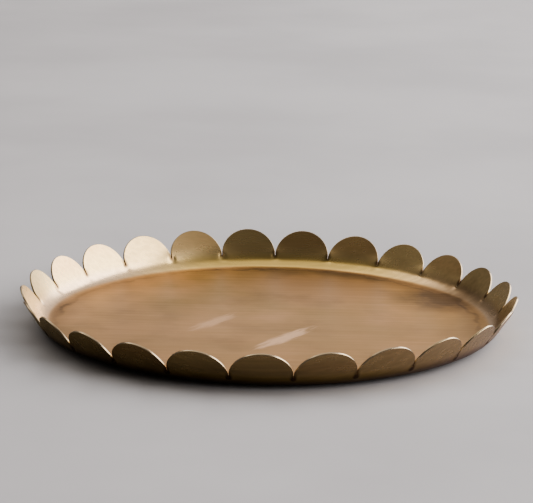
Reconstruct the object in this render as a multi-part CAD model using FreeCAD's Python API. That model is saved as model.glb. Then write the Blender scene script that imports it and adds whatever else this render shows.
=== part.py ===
"""Round brass tray with a scalloped rim, in millimetres, +Z up.

The tray is one flower-shaped blank of sheet brass pressed into a shallow dish: a flat base, a rounded
heel and a wall that leans outwards. The rim is cut into a ring of half-round petals. Pressing the wall
upwards brings neighbouring petals together, so each pair meets in a narrow slit with a round end.
Rolled sheet draws unevenly, so the whole scalloped rim stands a little higher on two opposite sides.
Four low rubber feet are stuck under the base, and the tray stands on them. Nothing on it moves.

The origin is on the surface that the tray stands on, under the middle of the base. One petal is centred
on -Y, the tray's front.
"""

import FreeCAD, Part
import math
import os

# Driving dimensions of the dish
TIP_DIAMETER = 300.0  # across the outer edge of the petals' tips, on average round the rim
SHEET = 1.2  # thickness of the brass
PETALS = 25
FLARE = math.radians(33.6)  # how far the wall leans out from vertical
CUSP_HEIGHT = 7.5  # from the base's underside to the middle of the sheet where two petals meet
HEEL_RADIUS = 13.65  # outer radius of the bend between base and wall
EAR_RISE = 1.5  # how far up the wall the rim stands at its two high sides, and how far down at the low ones
EAR_DIRECTION = math.radians(111.0)  # direction of one high side, anticlockwise from +X

FRONT_PETAL_ANGLE = math.radians(270.0)  # direction of one petal's middle, anticlockwise from +X

# Slits between petals
SLIT_WIDTH = 0.6
SLIT_DEPTH = 0.5  # straight part of a slit below the middles of its two petals
SLIT_TOP = 4.0  # how far above them the slit's tool reaches, past where the petals have curved clear of it
SIDE_TRIM = 0.25  # what a slit takes off the widest part of each petal beside it

# Rubber feet, a little narrower at the floor than where they are stuck on
FOOT_COUNT = 4
FOOT_TOP_DIAMETER = 14.0
FOOT_FLOOR_DIAMETER = 12.6
FOOT_HEIGHT = 1.5
FOOT_EDGE_ROUNDING = 0.4
FOOT_CIRCLE_RADIUS = 108.0
FIRST_FOOT_ANGLE = math.radians(45.0)

# How far cutting tools stand out past what they cut
TOOL_MARGIN = 1.0
TRIM_ALLOWANCE = 2.0  # extra wall above the highest petals, which the scalloping trims off

# Sizes worked out from those above
PETAL_PITCH = 2.0 * math.pi / PETALS
HALF_SHEET = SHEET / 2.0
TIP_RADIUS = TIP_DIAMETER / 2.0
# The petals are half circles centred near this ring of the wall, at the middle of the sheet.
CUSP_RING_RADIUS = (
    TIP_RADIUS - HALF_SHEET * math.cos(FLARE) + (SLIT_WIDTH / 2.0 - SIDE_TRIM) * math.sin(FLARE)
) / (1.0 + math.sin(PETAL_PITCH / 2.0) * math.sin(FLARE))
UNDERSIDE = FOOT_HEIGHT  # height of the base's underside
CUSP_LEVEL = UNDERSIDE + CUSP_HEIGHT

Y_AXIS = FreeCAD.Vector(0, 1, 0)
Z_AXIS = FreeCAD.Vector(0, 0, 1)
ORIGIN = FreeCAD.Vector(0, 0, 0)


def rim_rise(angle):
    """How far up the wall the scalloped rim is shifted, at one direction from the tray's middle."""
    return EAR_RISE * math.cos(2.0 * (angle - EAR_DIRECTION))


def petal_radius(rise):
    """Radius of a half-round petal whose middle lies a little up the wall from the cusp ring."""
    ring_radius = CUSP_RING_RADIUS + rise * math.sin(FLARE)
    return ring_radius * math.sin(PETAL_PITCH / 2.0) - SLIT_WIDTH / 2.0 + SIDE_TRIM


RIM_LOW = -EAR_RISE
RIM_HIGH = EAR_RISE + petal_radius(EAR_RISE) + TRIM_ALLOWANCE


def wall_point(up, out):
    """A point of the wall's section in the XZ plane, up from the cusp ring and out from mid-sheet."""
    radius = CUSP_RING_RADIUS + up * math.sin(FLARE) + out * math.cos(FLARE)
    height = CUSP_LEVEL + up * math.cos(FLARE) - out * math.sin(FLARE)
    return FreeCAD.Vector(radius, 0, height)


def section_face(edges):
    return Part.Face(Part.Wire(edges))


def line(start, end):
    return Part.LineSegment(start, end).toShape()


def around(shape, angle):
    """A copy of shape turned about the tray's axis."""
    turned = shape.copy()
    turned.rotate(ORIGIN, Z_AXIS, math.degrees(angle))
    return turned


def base_radius():
    """Radius of the base's flat, where the heel begins."""
    outer_cusp = wall_point(0, HALF_SHEET)
    corner = outer_cusp.x - (outer_cusp.z - UNDERSIDE) * math.tan(FLARE)
    return corner - HEEL_RADIUS * math.tan((math.pi / 2 - FLARE) / 2)


def heel_arc(radius):
    """Section of one face of the heel, and its ends at the base and at the wall."""
    centre = FreeCAD.Vector(base_radius(), 0, UNDERSIDE + HEEL_RADIUS)

    def at(angle):
        return centre + FreeCAD.Vector(radius * math.sin(angle), 0, -radius * math.cos(angle))

    full_bend = math.pi / 2 - FLARE
    arc = Part.Arc(at(0), at(full_bend / 2), at(full_bend)).toShape()
    return arc, at(0), at(full_bend)


def plain_dish():
    """The pressed dish before its rim is scalloped, with a round rim a little above the petals' tips."""
    outer_arc, outer_base, outer_wall = heel_arc(HEEL_RADIUS)
    inner_arc, inner_base, inner_wall = heel_arc(HEEL_RADIUS - SHEET)
    outer_rim = wall_point(RIM_HIGH, HALF_SHEET)
    inner_rim = wall_point(RIM_HIGH, -HALF_SHEET)
    outer_centre = FreeCAD.Vector(0, 0, UNDERSIDE)
    inner_centre = FreeCAD.Vector(0, 0, UNDERSIDE + SHEET)
    section = section_face([
        line(outer_centre, outer_base),
        outer_arc,
        line(outer_wall, outer_rim),
        line(outer_rim, inner_rim),
        line(inner_rim, inner_wall),
        inner_arc,
        line(inner_base, inner_centre),
        line(inner_centre, outer_centre),
    ])
    return section.revolve(ORIGIN, Z_AXIS, 360)


def rim_band():
    """The ring that holds all the petals, thicker than the sheet on both sides."""
    side = HALF_SHEET + TOOL_MARGIN
    top = RIM_HIGH + TOOL_MARGIN
    corners = [
        wall_point(RIM_LOW, side),
        wall_point(top, side),
        wall_point(top, -side),
        wall_point(RIM_LOW, -side),
    ]
    section = section_face([line(corners[i], corners[(i + 1) % 4]) for i in range(4)])
    return section.revolve(ORIGIN, Z_AXIS, 360)


def rod_across_sheet(radius, up):
    """A round rod through the wall, square to the sheet, on the +X side."""
    reach = HALF_SHEET + 2 * TOOL_MARGIN
    outwards = FreeCAD.Vector(math.cos(FLARE), 0, -math.sin(FLARE))
    return Part.makeCylinder(radius, 2 * reach, wall_point(up, -reach), outwards)


def block_across_sheet(width, low, high):
    """A block through the wall, square to the sheet, between two heights up the wall on the +X side."""
    reach = HALF_SHEET + 2 * TOOL_MARGIN
    block = Part.makeBox(2 * reach, width, high - low, FreeCAD.Vector(-reach, -width / 2, low))
    block.rotate(ORIGIN, Y_AXIS, math.degrees(FLARE))
    block.translate(wall_point(0, 0))
    return block


def petal_keeper(angle):
    """What one petal keeps of the rim band: its half circle, and all of the sheet below it."""
    rise = rim_rise(angle)
    radius = petal_radius(rise)
    half_circle = rod_across_sheet(radius, rise)
    root = block_across_sheet(2 * (radius + SLIT_WIDTH), RIM_LOW - TOOL_MARGIN, rise)
    return around(half_circle.fuse(root), angle)


def slit(angle):
    """The tool that cuts one slit between two petals and rounds its end."""
    end = rim_rise(angle) - SLIT_DEPTH
    straight = block_across_sheet(SLIT_WIDTH, end, rim_rise(angle) + SLIT_TOP)
    round_end = rod_across_sheet(SLIT_WIDTH / 2, end)
    return around(straight.fuse(round_end), angle)


def tray_pan():
    petal_angles = [FRONT_PETAL_ANGLE + i * PETAL_PITCH for i in range(PETALS)]
    waste = rim_band().cut([petal_keeper(angle) for angle in petal_angles])
    scalloped = plain_dish().cut(waste)
    slits = [slit(angle + PETAL_PITCH / 2) for angle in petal_angles]
    return scalloped.cut(slits).removeSplitter()


def rubber_foot(index):
    angle = FIRST_FOOT_ANGLE + index * 2.0 * math.pi / FOOT_COUNT
    disc = Part.makeCone(FOOT_FLOOR_DIAMETER / 2, FOOT_TOP_DIAMETER / 2, FOOT_HEIGHT)
    floor_edge = [edge for edge in disc.Edges if edge.BoundBox.ZMax < FOOT_HEIGHT / 2]
    disc = disc.makeFillet(FOOT_EDGE_ROUNDING, floor_edge)
    disc.translate(FreeCAD.Vector(FOOT_CIRCLE_RADIUS, 0, 0))
    return around(disc, angle)


def export(shape, node):
    solids = shape.Solids
    if len(solids) != 1 or not shape.isValid():
        raise RuntimeError(f"{node} is not one valid solid")
    solids[0].exportStep(os.path.join("parts", node + ".step"))
    box = solids[0].optimalBoundingBox()
    size = f"{box.XLength:.2f} x {box.YLength:.2f} x {box.ZLength:.2f} mm"
    print(f"{node}: {size}, {solids[0].Volume:.0f} mm3")


os.makedirs("parts", exist_ok=True)
export(tray_pan(), "tray_pan")
for foot in range(FOOT_COUNT):
    export(rubber_foot(foot), f"rubber_foot_{foot + 1}")
print(f"base flat radius {base_radius():.2f}, cusp ring radius {CUSP_RING_RADIUS:.2f}")
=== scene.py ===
import math
import random

import bpy
from mathutils import Matrix, Vector, noise


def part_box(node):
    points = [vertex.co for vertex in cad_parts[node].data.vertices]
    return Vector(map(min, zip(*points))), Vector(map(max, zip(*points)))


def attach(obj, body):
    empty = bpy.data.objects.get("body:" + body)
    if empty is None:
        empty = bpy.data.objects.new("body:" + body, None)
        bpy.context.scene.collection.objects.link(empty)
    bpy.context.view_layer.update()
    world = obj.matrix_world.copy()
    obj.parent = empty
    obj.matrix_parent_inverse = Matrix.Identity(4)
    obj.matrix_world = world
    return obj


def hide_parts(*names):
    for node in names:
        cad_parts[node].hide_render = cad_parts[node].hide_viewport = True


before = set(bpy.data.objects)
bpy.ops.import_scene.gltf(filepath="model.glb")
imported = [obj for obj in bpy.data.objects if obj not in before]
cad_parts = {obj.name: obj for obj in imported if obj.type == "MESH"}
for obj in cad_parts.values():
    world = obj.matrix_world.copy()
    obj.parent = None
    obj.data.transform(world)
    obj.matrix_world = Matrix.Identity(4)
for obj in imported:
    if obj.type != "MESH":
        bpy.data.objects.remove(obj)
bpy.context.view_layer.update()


# ---------------------------------------------------------------------------------------------------
# The pan. One piece of sheet brass: a flower-shaped blank is cut and brushed flat, then pressed into a
# shallow dish. The petals come up with the wall, each pair meets in a narrow slit, and the metal
# puckers a little where a slit ends. The cut edges are eased with a file and the whole is left to age.
# ---------------------------------------------------------------------------------------------------

pan_low, pan_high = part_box("tray_pan")
MM = 0.001
PETALS = 25
PETAL_PITCH = 2.0 * math.pi / PETALS
FRONT = -math.pi / 2.0
FLARE = math.radians(33.6)
HALF_SHEET = 0.6 * MM
CUSP_HEIGHT = 7.5 * MM  # from the underside to where neighbouring petals meet
HEEL_RADIUS = 13.65 * MM
EAR_RISE = 1.5 * MM  # most that the rim rises or drops, along the wall
EAR_DIRECTION = math.radians(111.0)
SLIT_HALF_WIDTH = 0.18 * MM
SLIT_END_DROP = 0.5 * MM  # how far the slit's sides run on below the cusps
SLIT_SIDE_TRIM = 0.13 * MM  # what the slit's straight sides take off each half-round petal
EDGE_EASE = 0.28 * MM  # radius of the filed corners
EDGE_MARGIN = EDGE_EASE * 1.6
EDGE_BAND = 0.6 * MM  # beside the cut edge, where the mesh follows the outline


def rim_rise(around):
    """The pressed rim stands a little higher up the wall on two opposite sides than between them."""
    return EAR_RISE * math.cos(2.0 * (around - EAR_DIRECTION))


CUSP_RADIUS = (
    -pan_low.y - HALF_SHEET * math.cos(FLARE) + (SLIT_HALF_WIDTH - SLIT_SIDE_TRIM) * math.sin(FLARE)
) / (1.0 + math.sin(PETAL_PITCH / 2.0) * math.sin(FLARE)) - rim_rise(FRONT) * math.sin(FLARE)
PETAL_RADIUS = CUSP_RADIUS * math.sin(PETAL_PITCH / 2.0) - SLIT_HALF_WIDTH + SLIT_SIDE_TRIM
UNDERSIDE = pan_low.z
CUSP_LEVEL = UNDERSIDE + CUSP_HEIGHT
CONE_SIDE = CUSP_RADIUS / math.sin(FLARE)  # from the tip of the wall's cone to the cusp ring
CONE_PITCH = PETAL_PITCH * math.sin(FLARE)  # between two petals when the wall is rolled out flat

outer_cusp_radius = CUSP_RADIUS + HALF_SHEET * math.cos(FLARE)
outer_cusp_height = CUSP_HEIGHT - HALF_SHEET * math.sin(FLARE)
BEND = math.pi / 2.0 - FLARE
BASE_RADIUS = outer_cusp_radius - outer_cusp_height * math.tan(FLARE) - HEEL_RADIUS * math.tan(BEND / 2.0)
HEEL_MIDDLE = HEEL_RADIUS - HALF_SHEET
HEEL_LENGTH = HEEL_MIDDLE * BEND
HEEL_TOP = (HEEL_RADIUS - HEEL_MIDDLE * math.cos(BEND) - CUSP_HEIGHT) / math.cos(FLARE)
HEEL_START = HEEL_TOP - HEEL_LENGTH

# The mesh has this many columns to each petal, half of them on each side of its middle.
COLUMNS = 48
ROUND_END_COLUMNS = 3
ARC_START = 5
HALF_COLUMNS = COLUMNS // 2
HEEL_ROWS = 10
PETAL_ROWS = 16
PETAL_ROWS_START = HEEL_TOP - 2.2 * MM

# How unevenly the pan was worked
hand = random.Random(11)
petal_lean = [hand.uniform(-0.35, 0.0) * MM for petal in range(PETALS)]
petal_twist = [hand.uniform(-0.3, 0.3) * MM for petal in range(PETALS)]
petal_trim = [0.05 * MM - lean * math.tan(FLARE) for lean in petal_lean]
slit_pucker = [hand.uniform(0.25, 0.5) * MM for petal in range(PETALS)]
slit_pinch = [(hand.uniform(0.0, 0.3) * MM, hand.uniform(0.0, 0.3) * MM) for petal in range(PETALS)]
PETAL_FLATTENING = 0.55
PUCKER_DROP, PUCKER_ACROSS, PUCKER_ALONG = 2.4 * MM, 1.7 * MM, 1.5 * MM
PINCH_ASIDE, PINCH_DROP, PINCH_ACROSS, PINCH_ALONG = 1.5 * MM, 0.2 * MM, 0.7 * MM, 0.8 * MM
HEEL_WAVE, HEEL_WAVE_DROP, HEEL_WAVE_REACH = 0.22 * MM, 6.0 * MM, 9.0 * MM
BASE_SAG, BASE_SAG_LENGTH = 0.35 * MM, 75.0 * MM


def section(up):
    """Mid-sheet radius and height, and the outward direction, at a distance up the wall from the cusps."""
    if up >= HEEL_TOP:
        radius = CUSP_RADIUS + up * math.sin(FLARE)
        return radius, CUSP_LEVEL + up * math.cos(FLARE), math.cos(FLARE), -math.sin(FLARE)
    into_heel = HEEL_TOP - up
    if into_heel < HEEL_LENGTH:
        turn = BEND - into_heel / HEEL_MIDDLE
        radius = BASE_RADIUS + HEEL_MIDDLE * math.sin(turn)
        height = UNDERSIDE + HEEL_RADIUS - HEEL_MIDDLE * math.cos(turn)
        return radius, height, math.sin(turn), -math.cos(turn)
    radius = max(0.0, BASE_RADIUS - (into_heel - HEEL_LENGTH))
    return radius, UNDERSIDE + HALF_SHEET, 0.0, -1.0


def rim_point(column, inset):
    """Angle from the petal's middle and distance up the wall of a point inset from the cut edge."""
    side = -1.0 if column < HALF_COLUMNS else 1.0
    step = column if column < HALF_COLUMNS else COLUMNS - column
    half_gap = SLIT_HALF_WIDTH + inset
    if step >= ARC_START:
        radius = PETAL_RADIUS - inset
        to_slit = CONE_SIDE * math.sin(CONE_PITCH / 2.0) - half_gap
        first_turn = math.acos(to_slit / radius) - CONE_PITCH / 2.0
        share = (step - ARC_START) / (HALF_COLUMNS - ARC_START)
        turn = first_turn + (math.pi / 2.0 - first_turn) * share
        across = radius * math.cos(turn)
        along = CONE_SIDE + radius * math.sin(turn)
        return side * math.atan2(across, along) / math.sin(FLARE), math.hypot(across, along) - CONE_SIDE
    if step <= ROUND_END_COLUMNS:
        turn = math.pi / 2.0 * step / ROUND_END_COLUMNS
        across = half_gap * math.sin(turn)
        up = -SLIT_END_DROP - half_gap * math.cos(turn)
    else:
        across = half_gap
        arc_up = rim_point(ARC_START, inset)[1]
        up = (arc_up - SLIT_END_DROP) / 2.0
    return side * (PETAL_PITCH / 2.0 - across / CUSP_RADIUS), up


def smooth_step(low, high, value):
    share = min(1.0, max(0.0, (value - low) / (high - low)))
    return share * share * (3.0 - 2.0 * share)


def bell(distance, spread):
    return math.exp(-0.5 * (distance / spread) ** 2)


def worked(petal, angle, up):
    """How far the sheet stands out from a perfect dish, at an angle from the petal's middle."""
    across = angle * CUSP_RADIUS
    rise = max(0.0, up) / PETAL_RADIUS
    share = across / PETAL_RADIUS
    out = petal_lean[petal] * rise * min(1.0, rise + 0.25)
    out += petal_twist[petal] * share * rise
    sagitta = PETAL_RADIUS * PETAL_RADIUS / (2.0 * CUSP_RADIUS)
    out += PETAL_FLATTENING * sagitta * (share * share - 0.25) * smooth_step(0.0, 0.45, rise)

    slit = petal if angle < 0.0 else (petal + 1) % PETALS
    beside = PETAL_PITCH / 2.0 * CUSP_RADIUS - abs(across)
    out += slit_pucker[slit] * bell(beside, PUCKER_ACROSS) * bell(up + PUCKER_DROP, PUCKER_ALONG)
    pinch = slit_pinch[slit][1 if angle < 0.0 else 0]
    out += pinch * bell(beside - PINCH_ASIDE, PINCH_ACROSS) * bell(up + PINCH_DROP, PINCH_ALONG)

    around = petal * PETAL_PITCH + angle
    place = Vector((math.cos(around), math.sin(around), 0.0))
    heel_share = 1.0 - min(1.0, abs(up + HEEL_WAVE_DROP) / HEEL_WAVE_REACH)
    out += HEEL_WAVE * heel_share * noise.noise(place * 5.0 + Vector((3.0, 0.0, 0.0)))
    return out


def sheet_point(petal, angle, up, out, rim_share=0.0):
    """A point of the pan, out from mid-sheet. rim_share is how much of the rim's rise it follows."""
    around = FRONT + petal * PETAL_PITCH + angle
    radius, height, out_radial, out_down = section(up + rim_share * rim_rise(around))
    out += worked(petal, angle, up)
    trim = petal_trim[petal] * smooth_step(0.2, 1.0, up / PETAL_RADIUS)
    radius += out * out_radial - trim * math.sin(FLARE)
    height += out * out_down - trim * math.cos(FLARE)
    x = radius * math.cos(around)
    y = radius * math.sin(around)
    flatness = smooth_step(BASE_RADIUS, BASE_RADIUS - 12.0 * MM, radius)
    sag = noise.noise(Vector((x, y, 0.0)) / BASE_SAG_LENGTH) * BASE_SAG
    return Vector((x, y, height + flatness * sag))


def ring(columns, place):
    """One closed ring of the mesh: place gives a point for a petal and a column."""
    step = COLUMNS * PETALS // columns
    points = []
    for index in range(0, COLUMNS * PETALS, step):
        points.append(place(index // COLUMNS, index % COLUMNS))
    return points


def even_angle(column):
    return (column / COLUMNS - 0.5) * PETAL_PITCH


def base_ring(radius, columns, out):
    up = HEEL_START - (BASE_RADIUS - radius)
    return ring(columns, lambda petal, column: sheet_point(petal, even_angle(column), up, out))


def heel_ring(share, out):
    up = HEEL_START + (PETAL_ROWS_START - HEEL_START) * share
    return ring(COLUMNS * PETALS, lambda petal, column: sheet_point(petal, even_angle(column), up, out))


def wall_ring(share, out):
    """Rings that start level at the heel and take the outline's shape as they near the cut edge."""
    def place(petal, column):
        rim_angle, rim_up = rim_point(column, EDGE_BAND)
        angle = even_angle(column) * (1.0 - share) + rim_angle * share
        up = PETAL_ROWS_START * (1.0 - share) + rim_up * share
        return sheet_point(petal, angle, up, out, share)
    return ring(COLUMNS * PETALS, place)


def edge_ring(inset, out):
    def place(petal, column):
        angle, up = rim_point(column, inset)
        return sheet_point(petal, angle, up, out, 1.0)
    return ring(COLUMNS * PETALS, place)


# The base's rings, as shares of its radius, with more columns as they widen
BASE_RINGS = (
    (0.06, 75), (0.16, 75), (0.3, 150), (0.45, 150), (0.58, 300), (0.7, 300),
    (0.8, 300), (0.87, 600), (0.93, 600), (0.97, COLUMNS * PETALS), (0.99, COLUMNS * PETALS),
)


def face_rings(out):
    """One face of the sheet, from the tray's middle to the band beside its cut edge."""
    rings = []
    for share, columns in BASE_RINGS:
        rings.append(base_ring(BASE_RADIUS * share, columns, out))
    for row in range(HEEL_ROWS):
        rings.append(heel_ring(row / HEEL_ROWS, out))
    for row in range(PETAL_ROWS + 1):
        rings.append(wall_ring(row / PETAL_ROWS, out))
    return rings


def eased_ring(turn, side):
    """A ring on an eased corner of the cut edge: at 0 degrees on the face, at 90 on the edge itself."""
    inset = EDGE_EASE * (1.0 - math.sin(math.radians(turn)))
    out = HALF_SHEET - EDGE_EASE * (1.0 - math.cos(math.radians(turn)))
    return edge_ring(inset, side * out)


def edge_rings():
    """Over the cut edge, from the outer face to the inner one, with both corners eased."""
    rings = [edge_ring(EDGE_MARGIN, HALF_SHEET)]
    for turn in (0, 30, 60, 90):
        rings.append(eased_ring(turn, 1.0))
    for turn in (90, 60, 30, 0):
        rings.append(eased_ring(turn, -1.0))
    rings.append(edge_ring(EDGE_MARGIN, -HALF_SHEET))
    return rings


def join_rings(first, first_start, second, second_start):
    """Faces between two neighbouring rings. One of them may have twice as many points."""
    faces = []
    if len(first) == len(second):
        count = len(first)
        for i in range(count):
            j = (i + 1) % count
            faces.append((first_start + i, first_start + j, second_start + j, second_start + i))
    elif len(second) == 2 * len(first):
        count = len(first)
        for i in range(count):
            j = (i + 1) % count
            near, middle, far = 2 * i, 2 * i + 1, (2 * i + 2) % len(second)
            faces.append((first_start + i, second_start + middle, second_start + near))
            faces.append((first_start + i, first_start + j, second_start + middle))
            faces.append((first_start + j, second_start + far, second_start + middle))
    else:
        for face in join_rings(second, second_start, first, first_start):
            faces.append(tuple(reversed(face)))
    return faces


def mesh_from_rings(name, rings, bareness):
    """A closed mesh from rings that run from its lowest middle, outwards and back to its upper middle.

    bareness gives each ring's share of bare bright metal, which the material reads as cut_edge.
    """
    points = []
    starts = []
    bare = []
    for one, share in zip(rings, bareness):
        starts.append(len(points))
        points.extend(one)
        bare.extend([share] * len(one))
    faces = []
    for i in range(len(rings) - 1):
        faces.extend(join_rings(rings[i], starts[i], rings[i + 1], starts[i + 1]))
    for i, flipped in ((0, False), (len(rings) - 1, True)):
        count = len(rings[i])
        middle = sum(rings[i], Vector()) / count
        points.append(middle)
        bare.append(0.0)
        for k in range(count):
            face = (starts[i] + (k + 1) % count, starts[i] + k, len(points) - 1)
            faces.append(tuple(reversed(face)) if flipped else face)
    mesh = bpy.data.meshes.new(name)
    mesh.from_pydata([tuple(point) for point in points], [], faces)
    mesh.attributes.new("cut_edge", "FLOAT", "POINT").data.foreach_set("value", bare)
    mesh.shade_smooth()
    piece = bpy.data.objects.new(name, mesh)
    bpy.context.scene.collection.objects.link(piece)
    return piece


outer_rings = face_rings(HALF_SHEET)
inner_rings = face_rings(-HALF_SHEET)
over_edge = edge_rings()
face_bareness = [0.0] * (len(outer_rings) - 1) + [0.04]
edge_bareness = [0.15] + [1.0] * (len(over_edge) - 2) + [0.15]
brass_pan = mesh_from_rings(
    "brass_pan",
    outer_rings + over_edge + list(reversed(inner_rings)),
    face_bareness + edge_bareness + list(reversed(face_bareness)),
)


def add_node(tree, kind, values=None, **settings):
    """A node with its settings, and with each named input either linked or given a value."""
    node = tree.nodes.new(kind)
    for setting, value in settings.items():
        setattr(node, setting, value)
    for socket, value in (values or {}).items():
        if isinstance(value, bpy.types.NodeSocket):
            tree.links.new(value, node.inputs[socket])
        else:
            node.inputs[socket].default_value = value
    return node


def sum_of(tree, operation, first, second=0.0):
    return add_node(tree, "ShaderNodeMath", {0: first, 1: second}, operation=operation).outputs[0]


def times(tree, first, second):
    return sum_of(tree, "MULTIPLY", first, second)


def plus(tree, first, second):
    return sum_of(tree, "ADD", first, second)


def vector_sum(tree, operation, first, second):
    return add_node(tree, "ShaderNodeVectorMath", {0: first, 1: second}, operation=operation).outputs[0]


def fade(tree, value, low, high, start=0.0, end=1.0):
    """start below low and end above high, with a smooth change between them."""
    values = {"Value": value, "From Min": low, "From Max": high, "To Min": start, "To Max": end}
    return add_node(tree, "ShaderNodeMapRange", values, interpolation_type="SMOOTHSTEP").outputs["Result"]


def split(tree, vector):
    """The three parts of a vector."""
    return add_node(tree, "ShaderNodeSeparateXYZ", {0: vector}).outputs


def length_of(tree, vector):
    return add_node(tree, "ShaderNodeVectorMath", {0: vector}, operation="LENGTH").outputs["Value"]


def blend_colours(tree, share, first, second, kind="MIX"):
    values = {0: share, 6: first, 7: second}
    return add_node(tree, "ShaderNodeMix", values, data_type="RGBA", blend_type=kind).outputs[2]


def new_group(name, inputs, outputs):
    """An empty effect with named sockets: each is a name, a kind and, for a number, its usual value."""
    tree = bpy.data.node_groups.new(name, "ShaderNodeTree")
    for socket_name, kind, *usual in inputs:
        socket = tree.interface.new_socket(socket_name, in_out="INPUT", socket_type=kind)
        if usual:
            socket.default_value = usual[0]
    for socket_name, kind in outputs:
        tree.interface.new_socket(socket_name, in_out="OUTPUT", socket_type=kind)
    source = tree.nodes.new("NodeGroupInput")
    result = tree.nodes.new("NodeGroupOutput")
    return tree, source.outputs, result.inputs


def place_group(tree, group, values):
    return add_node(tree, "ShaderNodeGroup", values, node_tree=group).outputs


def brush_line_effect():
    """Fine straight lines along X, as a brushing wheel leaves them on the flat blank."""
    tree, given, result = new_group(
        "brush_lines",
        [("Position", "NodeSocketVector"), ("Width", "NodeSocketFloat", 0.5 * MM),
         ("Length", "NodeSocketFloat", 60 * MM)],
        [("Lines", "NodeSocketFloat")],
    )
    along = sum_of(tree, "DIVIDE", 1.0, given["Length"])
    crosswise = sum_of(tree, "DIVIDE", 1.0, given["Width"])
    scale = add_node(tree, "ShaderNodeCombineXYZ", {0: along, 1: crosswise, 2: crosswise}).outputs[0]
    stretched = vector_sum(tree, "MULTIPLY", given["Position"], scale)
    grain = add_node(tree, "ShaderNodeTexNoise", {"Vector": stretched, "Scale": 1.0, "Detail": 1.5})
    tree.links.new(grain.outputs["Fac"], result["Lines"])
    return tree


def patch_effect():
    """Soft cloudy patches of a given size, such as tarnish or dust."""
    tree, given, result = new_group(
        "soft_patches",
        [("Position", "NodeSocketVector"), ("Size", "NodeSocketFloat", 30 * MM),
         ("Seed", "NodeSocketFloat", 0.0), ("Low", "NodeSocketFloat", 0.4), ("High", "NodeSocketFloat", 0.6)],
        [("Patches", "NodeSocketFloat")],
    )
    scale = sum_of(tree, "DIVIDE", 1.0, given["Size"])
    noise_values = {"Vector": given["Position"], "W": given["Seed"], "Scale": scale, "Detail": 4.0}
    clouds = add_node(tree, "ShaderNodeTexNoise", noise_values, noise_dimensions="4D")
    tree.links.new(fade(tree, clouds.outputs["Fac"], given["Low"], given["High"]), result["Patches"])
    return tree


# How often the ragged outline of a painted patch of light changes, along and across it
RAGGED_PER_METRE = (60.0, 420.0, 1.0)


def light_patch_effect():
    """A long soft painted patch of light, with an outline ragged in streaks along its length."""
    tree, given, result = new_group(
        "painted_light_patch",
        [("Position", "NodeSocketVector"), ("Middle", "NodeSocketVector"), ("Turn", "NodeSocketFloat", 0.0),
         ("Length", "NodeSocketFloat", 60 * MM), ("Width", "NodeSocketFloat", 10 * MM)],
        [("Mark", "NodeSocketFloat")],
    )
    from_middle = vector_sum(tree, "SUBTRACT", given["Position"], given["Middle"])
    values = {"Vector": from_middle, "Angle": given["Turn"]}
    turned = add_node(tree, "ShaderNodeVectorRotate", values, rotation_type="Z_AXIS").outputs[0]
    half_length = sum_of(tree, "DIVIDE", 2.0, given["Length"])
    half_width = sum_of(tree, "DIVIDE", 2.0, given["Width"])
    scale = add_node(tree, "ShaderNodeCombineXYZ", {0: half_length, 1: half_width}).outputs[0]
    shape = vector_sum(tree, "MULTIPLY", turned, scale)
    ragged_place = vector_sum(tree, "MULTIPLY", turned, RAGGED_PER_METRE)
    ragged = add_node(tree, "ShaderNodeTexNoise", {"Vector": ragged_place, "Scale": 1.0, "Detail": 3.0})
    wobble = times(tree, sum_of(tree, "SUBTRACT", ragged.outputs["Fac"], 0.5), 1.5)
    distance = length_of(tree, shape)
    tree.links.new(fade(tree, plus(tree, distance, wobble), 0.45, 1.05, 1.0, 0.0), result["Mark"])
    return tree


brush_lines = brush_line_effect()
soft_patches = patch_effect()
painted_light_patch = light_patch_effect()

# Colours of the brass, clean and aged
BASE_BROWN = (0.68, 0.395, 0.175, 1.0)
BASE_OLIVE = (0.40, 0.25, 0.066, 1.0)
BASE_ROSE = (0.58, 0.325, 0.12, 1.0)
WALL_GOLD = (0.66, 0.49, 0.25, 1.0)
WALL_COPPER = (0.60, 0.40, 0.20, 1.0)
HEEL_GOLD = (0.66, 0.48, 0.17, 1.0)
# Paler heel colour for the left: a painted highlight
HEEL_HIGHLIGHT_PALE = (0.72, 0.54, 0.36, 1.0)
HEEL_BROWN = (0.50, 0.35, 0.21, 1.0)
# Dark patina, also the colour of the painted shade and shadow on the base and heel
DARK_PATINA_AND_SHADE = (0.14, 0.085, 0.045, 1.0)
CUT_BRASS = (0.42, 0.34, 0.24, 1.0)
# Pale colour of the painted patches of light on the base
PAINTED_LIGHT_PALE = (0.90, 0.63, 0.43, 1.0)

# Painted shadow of the rear right wall, and two painted patches of light, with their turn, size and strength
WALL_SHADOW_MIDDLE = (106 * MM, 56 * MM, 0.0)
PAINTED_LIGHT_PATCHES = (
    ((-32.5 * MM, -5.5 * MM, 0.0), 57.0, 52 * MM, 11 * MM, 0.45),
    ((10.5 * MM, -38.5 * MM, 0.0), 56.5, 68 * MM, 12 * MM, 0.75),
)
FLAT = (1.0, 1.0, 0.0)  # a place times this loses its height
LINES_LOW, LINES_HIGH = 0.3, 0.7  # brush lines run between these
# Patina and painted shade darken the brass round each slit's end
SLIT_STAIN_AND_SHADE = 2.8 * MM  # how far patina reaches round a slit's end
STAIN_AND_SHADE_BELOW = 0.35  # below a slit's end the stain is this share of its length up the slit
TONE_STEP = 7.3  # from one petal to the next in the clouds that tone them
TONE_CHANGE = 35.0  # how fast the tone changes up a petal, per metre


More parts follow.
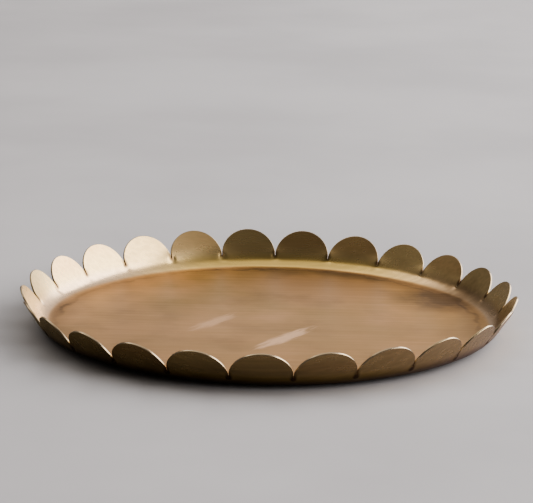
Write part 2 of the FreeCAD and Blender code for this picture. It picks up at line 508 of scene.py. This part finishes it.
class PanPlaces:
    """Where a point of the pan lies. Each value is an output that the brass's colours are worked out from."""

    def __init__(self, tree):
        coordinates = add_node(tree, "ShaderNodeTexCoord").outputs
        self.place = coordinates["Object"]
        self.across, self.away, self.height = split(tree, self.place)
        self.radius = length_of(tree, vector_sum(tree, "MULTIPLY", self.place, FLAT))
        self.on_wall = fade(tree, self.height, UNDERSIDE + 1.3 * MM, UNDERSIDE + 2.6 * MM)
        self.upper = fade(tree, split(tree, coordinates["Normal"])[2], -0.3, 0.1)
        around = sum_of(tree, "ARCTAN2", self.away, self.across)
        first_slit = FRONT - PETAL_PITCH / 2.0
        self.turns = sum_of(tree, "DIVIDE", sum_of(tree, "SUBTRACT", around, first_slit), PETAL_PITCH)
        self.in_slit = self.near_slit_end(tree)

    def near_slit_end(self, tree):
        """1 at the end of the nearest slit, fading to 0 round it."""
        nearest = sum_of(tree, "SUBTRACT", self.turns, sum_of(tree, "ROUND", self.turns))
        beside = times(tree, nearest, PETAL_PITCH * CUSP_RADIUS)
        up = sum_of(tree, "DIVIDE", sum_of(tree, "SUBTRACT", self.radius, CUSP_RADIUS), math.sin(FLARE))
        above = times(tree, sum_of(tree, "MAXIMUM", up, 0.0), STAIN_AND_SHADE_BELOW)
        below = sum_of(tree, "MINIMUM", up, 0.0)
        offset = add_node(tree, "ShaderNodeCombineXYZ", {0: beside, 1: plus(tree, above, below)}).outputs[0]
        return fade(tree, length_of(tree, offset), 0.3 * MM, SLIT_STAIN_AND_SHADE, 1.0, 0.0)

    def patches(self, tree, size, seed, low, high):
        values = {"Position": self.place, "Size": size, "Seed": seed, "Low": low, "High": high}
        return place_group(tree, soft_patches, values)["Patches"]

    def lines(self, tree, width, length):
        values = {"Position": self.place, "Width": width, "Length": length}
        return place_group(tree, brush_lines, values)["Lines"]


def base_tones(tree, pan):
    """The base, browner in the middle, olive towards the rear left and rosier at the front."""
    frontward = sum_of(tree, "SUBTRACT", times(tree, pan.across, 0.4), pan.away)
    rosy = fade(tree, frontward, -50 * MM, 110 * MM)
    colour = blend_colours(tree, rosy, BASE_BROWN, BASE_ROSE)
    clouds = pan.patches(tree, size=70 * MM, seed=3.0, low=0.38, high=0.66)
    olive = times(tree, clouds, fade(tree, frontward, -160 * MM, 120 * MM, 0.95, 0.35))
    return blend_colours(tree, olive, colour, BASE_OLIVE)


def wall_tones(tree, pan):
    """The wall, golden at the heel, paler at its left as a painted highlight and browner at its right. Each
    petal has its tone.
    """
    low = blend_colours(tree, fade(tree, pan.across, -115 * MM, -40 * MM), HEEL_HIGHLIGHT_PALE, HEEL_GOLD)
    low = blend_colours(tree, fade(tree, pan.across, 45 * MM, 115 * MM), low, HEEL_BROWN)
    high = fade(tree, pan.height, CUSP_LEVEL - 3 * MM, CUSP_LEVEL + 3 * MM)
    colour = blend_colours(tree, high, low, WALL_GOLD)
    petal = times(tree, sum_of(tree, "FLOOR", pan.turns), TONE_STEP)
    rise = times(tree, pan.height, TONE_CHANGE)
    petal_place = add_node(tree, "ShaderNodeCombineXYZ", {0: petal, 1: rise}).outputs[0]
    tones = add_node(tree, "ShaderNodeTexNoise", {"Vector": petal_place, "Scale": 1.0, "Detail": 0.0})
    coppery = fade(tree, tones.outputs["Fac"], 0.38, 0.68, 0.0, 0.8)
    coppery = times(tree, coppery, fade(tree, pan.height, CUSP_LEVEL, CUSP_LEVEL + 9 * MM, 0.15, 1.0))
    return blend_colours(tree, coppery, colour, WALL_COPPER)


def heel_shade_line(tree, pan, wave, dull):
    """A thin wavy dark line of painted shade along the foot of the heel."""
    waving = fade(tree, wave, 0.0, 1.0, BASE_RADIUS - 3 * MM, BASE_RADIUS + 1 * MM)
    off_line = sum_of(tree, "ABSOLUTE", sum_of(tree, "SUBTRACT", pan.radius, waving))
    line = fade(tree, off_line, 0.3 * MM, 2.2 * MM, 1.0, 0.0)
    line = times(tree, line, fade(tree, dull, 0.0, 1.0, 0.12, 0.5))
    return times(tree, line, fade(tree, pan.away, -60 * MM, 60 * MM, 0.25, 1.0))


def base_painted_shade(tree, pan):
    """Painted shade: the base is darker towards its rear right and its left."""
    rear = fade(tree, pan.away, 10 * MM, 120 * MM, 0.0, 0.62)
    rear = times(tree, rear, fade(tree, pan.across, -70 * MM, 20 * MM))
    left = fade(tree, pan.across, -120 * MM, -10 * MM, 0.40, 0.0)
    left = times(tree, left, fade(tree, pan.away, 10 * MM, 75 * MM, 1.0, 0.0))
    return times(tree, plus(tree, rear, left), fade(tree, pan.on_wall, 0.0, 1.0, pan.upper, 0.0))


def under_heel_painted_shade(tree, pan):
    """Painted shade on the outside of the heel, darkest low down."""
    heel_shade = times(
        tree,
        fade(tree, pan.height, UNDERSIDE + 2 * MM, CUSP_LEVEL + 2 * MM, 0.75, 0.0),
        fade(tree, pan.radius, BASE_RADIUS - 8 * MM, BASE_RADIUS + 4 * MM, 0.15, 1.0),
    )
    return times(tree, heel_shade, sum_of(tree, "SUBTRACT", 1.0, pan.upper))


def base_painted_shadow(tree, pan, wave):
    """A painted shadow on the base, where the rear right wall shades it, with a wavy strength."""
    away = vector_sum(tree, "MULTIPLY", vector_sum(tree, "SUBTRACT", pan.place, WALL_SHADOW_MIDDLE), FLAT)
    wall_shadow = fade(tree, length_of(tree, away), 6 * MM, 40 * MM, 0.8, 0.0)
    return times(tree, times(tree, wall_shadow, fade(tree, wave, 0.0, 1.0, 0.5, 1.0)), pan.upper)


def all_tarnish_and_shade(tree, pan, dull):
    """The share of dark patina everywhere on the pan, with the painted shade and shadow added in."""
    spots = pan.patches(tree, size=9 * MM, seed=8.0, low=0.66, high=0.84)
    wave = pan.patches(tree, size=16 * MM, seed=6.0, low=0.25, high=0.75)
    beside_heel = times(
        tree,
        fade(tree, pan.radius, BASE_RADIUS - 16 * MM, BASE_RADIUS + 1 * MM),
        fade(tree, pan.radius, BASE_RADIUS + 1 * MM, BASE_RADIUS + 6 * MM, 1.0, 0.0),
    )
    tarnish_and_shade = plus(tree, times(tree, beside_heel, 0.22), times(tree, spots, 0.14))
    for part in (
        times(tree, dull, fade(tree, pan.on_wall, 0.0, 1.0, 0.24, 0.06)),
        heel_shade_line(tree, pan, wave, dull),
        base_painted_shade(tree, pan),
        under_heel_painted_shade(tree, pan),
        base_painted_shadow(tree, pan, wave),
        # Patina and painted shade round each slit's end
        times(tree, pan.in_slit, 0.9),
    ):
        tarnish_and_shade = plus(tree, tarnish_and_shade, part)
    return tarnish_and_shade


def all_painted_light_patches(tree, pan):
    """The painted patches of light on the upper face of the base, the stronger one where they meet."""
    light_patches = 0.0
    flat_place = vector_sum(tree, "MULTIPLY", pan.place, FLAT)
    for middle, turn, length, width, strength in PAINTED_LIGHT_PATCHES:
        values = {"Position": flat_place, "Middle": middle, "Turn": -math.radians(turn)}
        values.update({"Length": length, "Width": width})
        mark = times(tree, place_group(tree, painted_light_patch, values)["Mark"], strength)
        light_patches = sum_of(tree, "MAXIMUM", light_patches, mark)
    return times(tree, light_patches, pan.upper)


def bare_edges(tree, pan, dull):
    """Where the cut edge is still bare. Patina covers it in patches, and patina and painted shade cover it at
    the slits' ends.
    """
    bare = add_node(tree, "ShaderNodeAttribute", attribute_name="cut_edge").outputs["Fac"]
    bare = times(tree, bare, fade(tree, dull, 0.0, 1.0, 0.9, 0.4))
    return times(tree, bare, fade(tree, pan.in_slit, 0.1, 0.7, 1.0, 0.0))


def aged_brass():
    """Satin brass, brushed while flat and aged: copper brown in the tray's base and golden on its wall."""
    material = bpy.data.materials.new("aged_brass")
    material.use_nodes = True
    tree = material.node_tree
    shader = tree.nodes["Principled BSDF"]
    pan = PanPlaces(tree)
    dull = pan.patches(tree, size=34 * MM, seed=12.0, low=0.45, high=0.72)
    tarnish_and_shade = all_tarnish_and_shade(tree, pan, dull)
    light_patches = all_painted_light_patches(tree, pan)

    # The fine lines fade on the wall, which was handled and rubbed more than the base
    fine = pan.lines(tree, width=0.5 * MM, length=60 * MM)
    broad = pan.lines(tree, width=2.6 * MM, length=120 * MM)
    fine_share = fade(tree, pan.on_wall, 0.0, 1.0, 0.7, 0.1)
    streaks = plus(tree, broad, times(tree, sum_of(tree, "SUBTRACT", fine, broad), fine_share))
    shade = fade(tree, streaks, LINES_LOW, LINES_HIGH, 0.92, 1.07)
    tone = add_node(tree, "ShaderNodeCombineXYZ", {0: shade, 1: shade, 2: shade}).outputs[0]

    colour = blend_colours(tree, pan.on_wall, base_tones(tree, pan), wall_tones(tree, pan))
    # Dark patina, with the painted shade and shadow of the base and heel
    colour = blend_colours(tree, tarnish_and_shade, colour, DARK_PATINA_AND_SHADE)
    colour = blend_colours(tree, 1.0, colour, tone, "MULTIPLY")
    # Painted patches of light on the base
    colour = blend_colours(tree, light_patches, colour, PAINTED_LIGHT_PALE)
    colour = blend_colours(tree, bare_edges(tree, pan, dull), colour, CUT_BRASS)
    tree.links.new(colour, shader.inputs["Base Color"])

    shader.inputs["Metallic"].default_value = 1.0
    between_lines = fade(tree, pan.on_wall, 0.0, 1.0, 0.39, 0.29)
    on_lines = fade(tree, pan.on_wall, 0.0, 1.0, 0.31, 0.27)
    rough = fade(tree, streaks, LINES_LOW, LINES_HIGH, between_lines, on_lines)
    rough = plus(tree, rough, times(tree, tarnish_and_shade, 0.12))
    rough = plus(tree, rough, times(tree, light_patches, 0.15))
    tree.links.new(rough, shader.inputs["Roughness"])

    heights = plus(tree, times(tree, fine, fine_share), times(tree, broad, 0.9))
    heights = times(tree, heights, fade(tree, pan.on_wall, 0.0, 1.0, 1.0, 0.16))
    bump = add_node(tree, "ShaderNodeBump", {"Strength": 0.8, "Distance": 0.012 * MM, "Height": heights})
    tree.links.new(bump.outputs[0], shader.inputs["Normal"])
    return material


brass_pan.data.materials.append(aged_brass())
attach(brass_pan, "root")
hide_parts("tray_pan")


# ---------------------------------------------------------------------------------------------------
# The rubber feet. Four low moulded discs of black rubber, stuck under the base with their own adhesive
# so that the brass neither slides on a table nor scratches it.
# ---------------------------------------------------------------------------------------------------

FEET = 4
FOOT_NAMES = [f"rubber_foot_{number + 1}" for number in range(FEET)]
RUBBER_BLACK = (0.028, 0.028, 0.03, 1.0)
DUSTY_BLACK = (0.075, 0.07, 0.065, 1.0)


def foot_rubber():
    """Matt black rubber with a fine moulded grain and a little pale dust."""
    material = bpy.data.materials.new("foot_rubber")
    material.use_nodes = True
    tree = material.node_tree
    shader = tree.nodes["Principled BSDF"]
    place = add_node(tree, "ShaderNodeTexCoord").outputs["Object"]
    grain = place_group(
        tree, soft_patches, {"Position": place, "Size": 0.5 * MM, "Seed": 1.0, "Low": 0.3, "High": 0.7}
    )["Patches"]
    dust = place_group(
        tree, soft_patches, {"Position": place, "Size": 5 * MM, "Seed": 4.0, "Low": 0.45, "High": 0.75}
    )["Patches"]
    colour = blend_colours(tree, dust, RUBBER_BLACK, DUSTY_BLACK)
    tree.links.new(colour, shader.inputs["Base Color"])
    tree.links.new(fade(tree, grain, 0.0, 1.0, 0.62, 0.78), shader.inputs["Roughness"])
    bump = add_node(tree, "ShaderNodeBump", {"Strength": 0.5, "Distance": 0.05 * MM, "Height": grain})
    tree.links.new(bump.outputs[0], shader.inputs["Normal"])
    return material


foot_material = foot_rubber()
for name in FOOT_NAMES:
    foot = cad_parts[name]
    foot.data.materials.clear()
    foot.data.materials.append(foot_material)


# ---------------------------------------------------------------------------------------------------
# The studio. A plain pale floor, one large soft window to the right, a dim soft surround with a bright
# patch of ceiling to the rear, which the heel mirrors as a golden band, and the camera.
# ---------------------------------------------------------------------------------------------------

FLOOR_RADIUS = 6.0
FLOOR_CORNERS = 96
FLOOR_GREY = (0.46, 0.45, 0.47, 1.0)
FLOOR_PALE = (0.53, 0.52, 0.54, 1.0)
# What the brass mirrors of the floor is toned down, as if a dark cloth lay there, and most on the left as
# painted shade.
DARK_MIRRORED = (0.17, 0.16, 0.14, 1.0)
PALE_MIRRORED = (0.28, 0.26, 0.31, 1.0)


def pale_floor():
    points = []
    for corner in range(FLOOR_CORNERS):
        turn = 2.0 * math.pi * corner / FLOOR_CORNERS
        points.append((FLOOR_RADIUS * math.cos(turn), FLOOR_RADIUS * math.sin(turn), 0.0))
    mesh = bpy.data.meshes.new("floor")
    mesh.from_pydata(points, [], [tuple(range(FLOOR_CORNERS))])
    piece = bpy.data.objects.new("floor", mesh)
    bpy.context.scene.collection.objects.link(piece)
    material = bpy.data.materials.new("pale_floor")
    material.use_nodes = True
    tree = material.node_tree
    shader = tree.nodes["Principled BSDF"]
    place = add_node(tree, "ShaderNodeTexCoord").outputs["Object"]
    clouds = place_group(
        tree, soft_patches, {"Position": place, "Size": 0.25, "Seed": 2.0, "Low": 0.3, "High": 0.7}
    )["Patches"]
    colour = blend_colours(tree, clouds, FLOOR_GREY, FLOOR_PALE)
    sideways = split(tree, place)[0]
    # Painted shade in what the brass mirrors: darker on the left
    mirrored_colour = blend_colours(tree, fade(tree, sideways, -0.15, 0.2), DARK_MIRRORED, PALE_MIRRORED)
    mirrored = add_node(tree, "ShaderNodeLightPath").outputs["Is Glossy Ray"]
    colour = blend_colours(tree, mirrored, colour, mirrored_colour)
    tree.links.new(colour, shader.inputs["Base Color"])
    shader.inputs["Roughness"].default_value = 0.85
    mesh.materials.append(material)
    return piece


floor = pale_floor()


def direction(azimuth, elevation):
    flat = math.cos(math.radians(elevation))
    turn = math.radians(azimuth)
    return Vector((math.cos(turn) * flat, math.sin(turn) * flat, math.sin(math.radians(elevation))))


SIDE_DIM = (0.105, 0.10, 0.09, 1.0)
ROOM_DIM = (0.070, 0.068, 0.062, 1.0)
REAR_LIT = (0.62, 0.59, 0.59, 1.0)
CEILING_LOW = (1.85, 1.76, 1.62, 1.0)
CEILING_HIGH = (0.80, 0.76, 0.70, 1.0)
CEILING_DIRECTION = direction(130.0, 72.0)
CEILING_EDGE = math.cos(math.radians(37.0))
CEILING_FULL = math.cos(math.radians(26.0))


def soft_surround():
    """The light from all round: a dim room, lit behind the tray, with a bright patch of ceiling."""
    world = bpy.data.worlds.new("soft_surround")
    world.use_nodes = True
    bpy.context.scene.world = world
    tree = world.node_tree
    background = tree.nodes["Background"]
    towards = add_node(tree, "ShaderNodeTexCoord").outputs["Generated"]
    sideways, rearward, upward = split(tree, towards)
    behind = plus(tree, rearward, times(tree, upward, 0.35))
    lit = times(tree, fade(tree, behind, -0.25, 0.45), fade(tree, sideways, -0.42, -0.02, 0.16, 1.0))
    dim = blend_colours(tree, fade(tree, sideways, -0.40, 0.10), SIDE_DIM, ROOM_DIM)
    colour = blend_colours(tree, lit, dim, REAR_LIT)
    facing = add_node(
        tree, "ShaderNodeVectorMath", {0: towards, 1: CEILING_DIRECTION}, operation="DOT_PRODUCT"
    ).outputs["Value"]
    ceiling = fade(tree, facing, CEILING_EDGE, CEILING_FULL)
    ceiling_colour = blend_colours(tree, fade(tree, upward, 0.74, 0.95), CEILING_LOW, CEILING_HIGH)
    colour = blend_colours(tree, ceiling, colour, ceiling_colour)
    tree.links.new(colour, background.inputs["Color"])


soft_surround()

WINDOW_DIRECTION = direction(10.0, 27.0)
WINDOW_DISTANCE = 2.5
WINDOW_WIDTH = 5.4
WINDOW_HEIGHT = 2.2
WINDOW_WATTS = 140.0
WINDOW_COLOUR = (1.0, 0.97, 0.94)


def soft_window():
    lamp = bpy.data.lights.new("window_light", "AREA")
    lamp.shape = "RECTANGLE"
    lamp.size = WINDOW_WIDTH
    lamp.size_y = WINDOW_HEIGHT
    lamp.energy = WINDOW_WATTS
    lamp.color = WINDOW_COLOUR
    piece = bpy.data.objects.new("window_light", lamp)
    bpy.context.scene.collection.objects.link(piece)
    piece.location = WINDOW_DIRECTION * WINDOW_DISTANCE
    piece.rotation_mode = "QUATERNION"
    piece.rotation_quaternion = WINDOW_DIRECTION.to_track_quat("Z", "Y")


soft_window()

LENS = 150.2
SENSOR = 36.0
CAMERA_AWAY = 1.2928
CAMERA_ABOVE_CUSPS = 0.3447
CAMERA_AROUND = math.radians(1.49)
CAMERA_TURN = math.radians(0.085)
CAMERA_PITCH = math.radians(13.42)
CAMERA_ROLL = math.radians(0.93)

camera = bpy.data.objects.new("camera", bpy.data.cameras.new("camera"))
bpy.context.scene.collection.objects.link(camera)
camera.data.lens = LENS
camera.data.sensor_width = SENSOR
camera.matrix_world = (
    Matrix.Rotation(CAMERA_AROUND, 4, "Z")
    @ Matrix.Translation((0.0, -CAMERA_AWAY, CUSP_LEVEL + CAMERA_ABOVE_CUSPS))
    @ Matrix.Rotation(CAMERA_TURN, 4, "Z")
    @ Matrix.Rotation(math.pi / 2.0 - CAMERA_PITCH, 4, "X")
    @ Matrix.Rotation(CAMERA_ROLL, 4, "Z")
)
bpy.context.scene.camera = camera
film = bpy.context.scene.view_settings
film.view_transform = "AgX"
film.look = "AgX - Medium High Contrast"
film.exposure = 0.15
